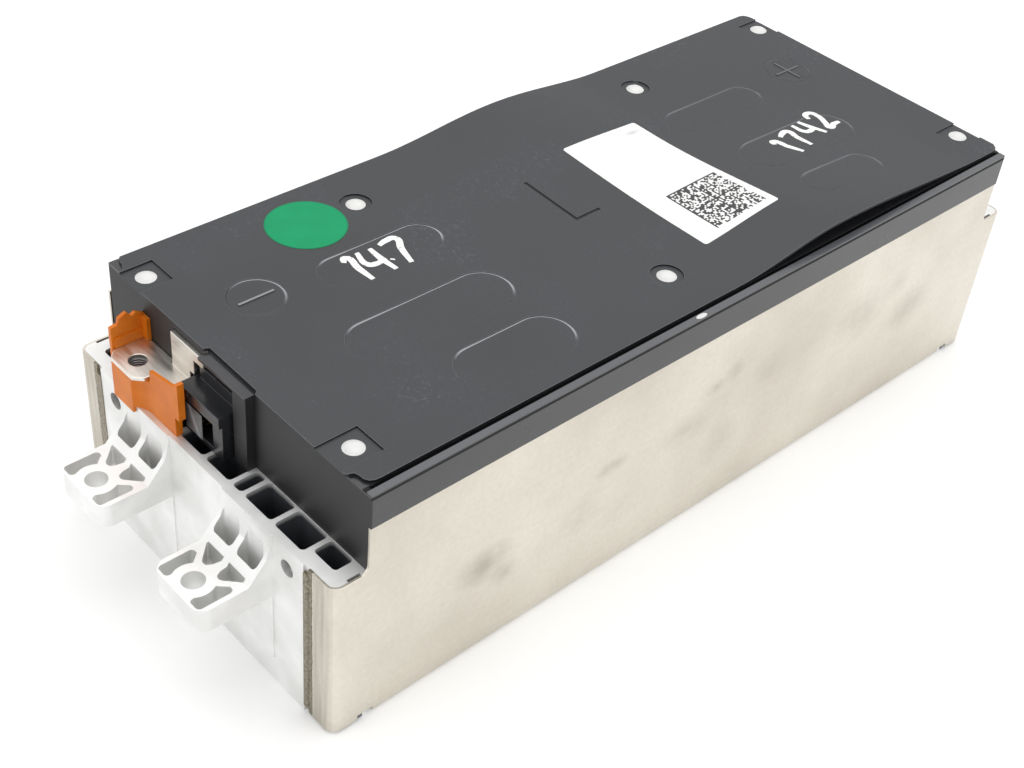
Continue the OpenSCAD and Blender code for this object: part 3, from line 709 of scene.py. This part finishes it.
def bowedSheet():
    shape = mergedCopy("top_cover")
    print("fields sloped:", slopeFields(shape))
    outline = [edge for edge in shape.edges if edge.is_manifold and edge.calc_face_angle() > math.radians(60)
               and min(vert.co.z for vert in edge.verts) > (sheetTop - sunkFields["topBand"]) * mm]
    for face in bevelEdges(shape, outline, sunkFields["edgeBreak"], 2, clamp_overlap=True, loop_slide=True):
        face.material_index = 2
    gridCuts(shape, bow["cuts"])
    bmesh.ops.triangulate(shape, faces=[face for face in shape.faces if len(face.verts) > 4])
    paintEdgeLightAndShade(shape)
    shallowest, deepest = sunkFields["floorDepths"]
    for vert in shape.verts:
        x, y, z = vert.co / mm
        depth = fieldDepth(x, y) if shallowest < sheetTop - z < deepest else None
        if depth is not None:
            vert.co.z = (sheetTop - depth) * mm
        vert.co.z += sheetLift(x, y) * mm
    piece = linkPiece("bowedTopSheet", shape, finishes["formedSheet"], ("top_cover",))
    smoothShade(piece, 25)


bowedSheet()
print("top sheet bowed")


# Lays a thin flat shape on the bowed sheet; its own z is kept as the height over the sheet
def drape(shape):
    for vert in shape.verts:
        x, y, z = vert.co / mm
        vert.co.z = (sheetTop + sheetLift(x, y) + z) * mm


# Stickers on the sheet

labelLook = {
    "centre": (7.0, 33.0), "size": (75.8, 40.5), "turn": 0.5, "corner": 1.2, "thick": 0.12,
    "codeCorner": (14.6, 23.6), "codeCell": 0.72, "codeCells": 37, "codeLight": 0.48,
    "dash": (-25.5, 46.5, 1.6, 5.0), "cuts": ((0, -28, 44, 4), (1, 16, 52, 4)),
}
sealLook = {
    "centre": (-49.2, -96.7), "diameter": 30.0, "thick": 0.1, "rimFrom": 0.7, "rimTo": 0.4,
    "cuts": ((0, -62, -36, 4), (1, -110, -84, 4)),
}


# Vinyl label stock: white, satin, with a generic code of seeded dots that stands for no number
def printedLabel(look):
    material, shader, place = newMaterial("printedLabel", "#F2F2F0", Roughness=0.42)
    paper = blendColour(material, grain(material, place, 260, 3), "#E6E6E4", "#F6F6F5")
    cell = look["codeCell"] * mm
    local = vectorMath(material, "SUBTRACT", place, [c * mm for c in look["codeCorner"]] + [0])[0]
    cells = vectorMath(material, "MULTIPLY", local, (1 / cell, 1 / cell, 0))[0]
    whole = vectorMath(material, "FLOOR", cells)[0]
    dots = addNode(material, "ShaderNodeTexWhiteNoise", {"Vector": whole}, noise_dimensions="3D")
    black = addMath(material, "GREATER_THAN", dots.outputs["Value"], look["codeLight"])
    column, row = splitAxes(material, whole)[:2]
    inside = 1.0
    for line in (column, row):
        for at in (0, look["codeCells"] // 2):
            solid = addNode(material, "ShaderNodeMath", {0: line, 1: float(at), 2: 0.1}, operation="COMPARE")
            black = addMath(material, "MAXIMUM", black, solid.outputs[0])
        inside = multiply(material, addMath(material, "GREATER_THAN", line, -0.5), inside)
        inside = multiply(material, addMath(material, "LESS_THAN", line, look["codeCells"] - 0.5), inside)
    x, y, wide, high = look["dash"]
    dash = patch(material, place, (x * mm, y * mm, sheetTop * mm), (wide * mm, high * mm, 1.0))
    marked = blendColour(material, multiply(material, dash, 0.35), paper, "#6F7274")
    printed = blendColour(material, multiply(material, black, inside), marked, "#2C2C2E")
    connect(material, printed, shader, "Base Color")
    bump(material, shader, grain(material, place, 900, 2), 0.02 * mm, 0.3)
    return material


def layLabel(look):
    shape = bmesh.new()
    bmesh.ops.create_grid(shape, x_segments=1, y_segments=1, size=0.5 * mm)
    bmesh.ops.scale(shape, vec=(*look["size"], 1), verts=shape.verts)
    bmesh.ops.bevel(shape, geom=shape.verts[:], offset=look["corner"] * mm, offset_type="OFFSET", segments=4,
                    profile=0.5, affect="VERTICES", material=-1)
    bmesh.ops.rotate(shape, matrix=Matrix.Rotation(math.radians(look["turn"]), 3, "Z"), verts=shape.verts)
    bmesh.ops.translate(shape, vec=(look["centre"][0] * mm, look["centre"][1] * mm, 0), verts=shape.verts)
    bmesh.ops.dissolve_degenerate(shape, edges=shape.edges, dist=0.005 * mm)
    gridCuts(shape, look["cuts"])
    thicken(shape, (0, 0, look["thick"] * mm))
    drape(shape)
    smoothShade(linkPiece("whiteLabel", shape, printedLabel(look)), 40)


# Coated green paper seal, bare of words, with a thin darker rim where it was cut
def layPaperSeal(look):
    material, shader, place = newMaterial("greenSeal", "#0EA874", Roughness=0.5, Specular_IOR_Level=0.2)
    tone = blendColour(material, grain(material, place, 150, 3), "#008C59", "#059B66")
    radius = look["diameter"] / 2
    centre = (look["centre"][0] * mm, look["centre"][1] * mm, sheetTop * mm)
    away = vectorMath(material, "DISTANCE", place, centre)["Value"]
    rim = remap(material, away, (radius - look["rimFrom"]) * mm, (radius - look["rimTo"]) * mm, 0.0, 0.6)
    connect(material, blendColour(material, rim, tone, "#067A50"), shader, "Base Color")
    bump(material, shader, grain(material, place, 700, 2), 0.02 * mm, 0.3)
    shape = bmesh.new()
    bmesh.ops.create_circle(shape, cap_ends=True, segments=72, radius=radius * mm)
    bmesh.ops.translate(shape, vec=(centre[0], centre[1], 0), verts=shape.verts)
    gridCuts(shape, look["cuts"])
    thicken(shape, (0, 0, look["thick"] * mm))
    drape(shape)
    smoothShade(linkPiece("greenPaperSeal", shape, material), 40)


layLabel(labelLook)
layPaperSeal(sealLook)
print("stickers laid")

# Plain numbers in paint marker: strokes are given along the writing and up, in parts of the height

markerLook = {
    "strokeWidth": 2.6, "strokeHeight": 0.18, "endWidth": 0.7, "clearance": 0.05,
    "glyphs": {
        "1": [[(0.1, 0.86), (0.22, 1.0), (0.24, 0.5), (0.26, 0.0)]],
        "2": [[(0.04, 0.78), (0.2, 0.98), (0.42, 0.92), (0.42, 0.66), (0.18, 0.3), (0.0, 0.04), (0.28, 0.06),
               (0.54, 0.0)]],
        "4": [[(0.1, 1.0), (0.04, 0.5), (0.2, 0.42), (0.5, 0.46)], [(0.44, 0.96), (0.42, 0.5), (0.46, 0.0)]],
        "7": [[(0.0, 0.94), (0.24, 1.0), (0.48, 0.96), (0.34, 0.55), (0.2, 0.0)]],
        ".": [[(0.04, 0.32), (0.07, 0.35)]],
    },
    "lines": [
        {"text": "14.7", "start": (-9.5, -101.5), "along": (0.0, 1.0), "height": 15.5,
         "steps": (0, 7.2, 15.8, 18.0)},
        {"text": "1742", "start": (26.5, 88.5), "along": (-0.24, 0.97), "height": 13.5,
         "steps": (0, 8.5, 19.5, 30.5)},
    ],
}


# Opaque white marker paint: matt, thin at its edges where the sheet shows through
def markerPaint():
    material, shader, place = newMaterial("markerPaint", "#F1F1EE", Roughness=0.6)
    tone = mottle(material, grain(material, place, 900, 4), "#A9AAAA", "#F4F4F2", 0.32, 0.42)
    connect(material, tone, shader, "Base Color")
    bump(material, shader, grain(material, place, 1500, 3), 0.05 * mm, 0.5)
    return material


# Round stroke through its points, as a mesh
def markerStroke(points, look):
    curve = bpy.data.curves.new("stroke", "CURVE")
    curve.dimensions = "3D"
    curve.bevel_depth = look["strokeWidth"] / 2 * mm
    curve.bevel_resolution = 2
    curve.resolution_u = 6
    curve.use_fill_caps = True
    line = curve.splines.new("BEZIER")
    line.bezier_points.add(len(points) - 1)
    for knot, (x, y) in zip(line.bezier_points, points):
        knot.co = (x * mm, y * mm, 0)
        knot.handle_left_type = knot.handle_right_type = "AUTO"
    line.bezier_points[0].radius = line.bezier_points[-1].radius = look["endWidth"]
    holder = bpy.data.objects.new("stroke", curve)
    mesh = bpy.data.meshes.new_from_object(holder)
    bpy.data.objects.remove(holder)
    return mesh


def writeMarks(look):
    whole = bmesh.new()
    for line in look["lines"]:
        start, height = Vector(line["start"]), line["height"]
        onward = Vector(line["along"]).normalized()
        upward = Vector((-onward.y, onward.x))
        for glyph, step in zip(line["text"], line["steps"]):
            for stroke in look["glyphs"][glyph]:
                points = [start + onward * (step + u * height) + upward * v * height for u, v in stroke]
                mesh = markerStroke(points, look)
                whole.from_mesh(mesh)
                bpy.data.meshes.remove(mesh)
    bmesh.ops.scale(whole, vec=(1, 1, 2 * look["strokeHeight"] / look["strokeWidth"]), verts=whole.verts)
    bmesh.ops.translate(whole, vec=(0, 0, look["clearance"] * mm), verts=whole.verts)
    drape(whole)
    smoothShade(linkPiece("markerNumbers", whole, markerPaint()), 50)


writeMarks(markerLook)
print("marks written")

# Cloudy film over the left part of the connector's opening

filmLook = {
    "left": -13.6, "right": -4.2, "low": 73.0, "high": 83.4, "face": -171.75, "thick": 0.15,
    "slant": 0.55, "creaseFrom": 1.6, "creaseTo": 0.2,
}


# Matt polyethylene film: grey, translucent looking, with a lighter slanting crease
def cloudyFilm(look):
    material, shader, place = newMaterial("cloudyFilm", "#8C8E90", Roughness=0.35)
    clouds = grain(material, place, 160, 3)
    axes = splitAxes(material, place)
    slant = addMath(material, "ADD", axes[0], multiply(material, axes[2], look["slant"]))
    middle = (look["left"] + look["right"]) / 2 + look["slant"] * (look["low"] + look["high"]) / 2
    away = addMath(material, "ABSOLUTE", addMath(material, "SUBTRACT", slant, middle * mm))
    crease = remap(material, away, look["creaseFrom"] * mm, look["creaseTo"] * mm, 0.0, 0.6)
    tone = mottle(material, clouds, "#3C3E41", "#6A6D70")
    connect(material, blendColour(material, crease, tone, "#9EA1A4"), shader, "Base Color")
    bump(material, shader, clouds, 0.3 * mm, 0.4)
    return material


def layFilm(look):
    size = (look["right"] - look["left"], look["high"] - look["low"], 1)
    shape = bmesh.new()
    bmesh.ops.create_grid(shape, x_segments=4, y_segments=4, size=0.5 * mm)
    bmesh.ops.scale(shape, vec=size, verts=shape.verts)
    bmesh.ops.rotate(shape, matrix=Matrix.Rotation(math.radians(90), 3, "X"), verts=shape.verts)
    bmesh.ops.translate(shape, vec=((look["left"] + look["right"]) / 2 * mm, look["face"] * mm,
                                    (look["low"] + look["high"]) / 2 * mm), verts=shape.verts)
    thicken(shape, (0, look["thick"] * mm, 0))
    linkPiece("connectorFilm", shape, cloudyFilm(look))


layFilm(filmLook)
print("film laid")

# Dead black strip in the gap between the sheet and the rim of the cover: a painted shadow, where the gap is
# deep and dark

gapShadowStrip = {"x": (69.5, 71.1), "y": (-161.5, 163.0), "z": (102.0, 102.12), "edgeBreak": 0.03}


# Painted shadow: dead black, with a faint speckle and fine bumps
def gapShadowBlack():
    material, shader, place = newMaterial("gapShadowBlack", "#050506", Roughness=0.95, Specular_IOR_Level=0.05)
    blackSpeckle = grain(material, place, 1400, 2)
    connect(material, blendColour(material, blackSpeckle, "#020203", "#0B0B0C"), shader, "Base Color")
    bump(material, shader, blackSpeckle, 0.1 * mm, 0.6)
    return material


def layGapShadow(look):
    spans = [look[axis] for axis in "xyz"]
    shape = bmesh.new()
    bmesh.ops.create_cube(shape, size=mm)
    bmesh.ops.scale(shape, vec=[end - start for start, end in spans], verts=shape.verts)
    bmesh.ops.translate(shape, vec=[(end + start) / 2 * mm for start, end in spans], verts=shape.verts)
    bevelEdges(shape, shape.edges[:], look["edgeBreak"], 2)
    smoothShade(linkPiece("gapShadowPiece", shape, gapShadowBlack()), 50)


layGapShadow(gapShadowStrip)
print("gap shadow laid")

# Stage and light

stageLook = {
    "floorSize": 12.0, "floorColour": "#FAFAFA", "floorLift": 0.07, "worldStrength": 0.7, "white": "#FFFFFF",
    "lamps": {
        "overhead": {"place": (-0.2, 0.1, 1.5), "aim": (0, 0, 0.05), "size": (1.6, 1.6), "power": 11.8},
        "rightSoftbox": {"place": (1.5, 0.5, 0.7), "aim": (0, 0, 0.05), "size": (1.4, 1.0), "power": 8},
        "frontFill": {"place": (-0.5, -1.5, 0.6), "aim": (0, 0, 0.05), "size": (1.0, 0.8), "power": 2},
    },
}


# 1 for the rays that see the ground and the sky as clean white: direct, mirrored, or through something clear
def cleanRays(owner):
    rays = addNode(owner, "ShaderNodeLightPath").outputs
    seen = addMath(owner, "MAXIMUM", rays["Is Camera Ray"], rays["Is Glossy Ray"])
    return addMath(owner, "MAXIMUM", seen, rays["Is Transmission Ray"])


def makeStage(look):
    shape = bmesh.new()
    bmesh.ops.create_grid(shape, x_segments=1, y_segments=1, size=look["floorSize"] / 2)
    mesh = bpy.data.meshes.new("floor")
    shape.to_mesh(mesh)
    shape.free()
    floor = bpy.data.objects.new("floor", mesh)
    bpy.context.scene.collection.objects.link(floor)
    paper, shader = newMaterial("paperFloor", look["floorColour"], Roughness=0.9, Specular_IOR_Level=0.1,
                                Emission_Color=toLinear(look["white"]))[:2]
    connect(paper, multiply(paper, cleanRays(paper), look["floorLift"]), shader, "Emission Strength")
    mesh.materials.append(paper)


def makeWorld(look):
    world = bpy.data.worlds.new("studio")
    world.use_nodes = True
    bpy.context.scene.world = world
    world.node_tree.nodes.clear()
    strength = remap(world, cleanRays(world), 0.0, 1.0, look["worldStrength"], 1.0)
    sky = addNode(world, "ShaderNodeBackground", {"Color": toLinear(look["white"]), "Strength": strength})
    addNode(world, "ShaderNodeOutputWorld", {"Surface": sky.outputs[0]})


def makeLamps(look):
    for name, values in look["lamps"].items():
        light = bpy.data.lights.new(name, "AREA")
        light.shape = "RECTANGLE"
        light.size, light.size_y = values["size"]
        light.energy = values["power"]
        lamp = bpy.data.objects.new(name, light)
        bpy.context.scene.collection.objects.link(lamp)
        lamp.location = values["place"]
        towards = Vector(values["aim"]) - Vector(values["place"])
        lamp.rotation_euler = towards.to_track_quat("-Z", "Y").to_euler()


makeStage(stageLook)
makeWorld(stageLook)
makeLamps(stageLook)
print("stage and lamps set")
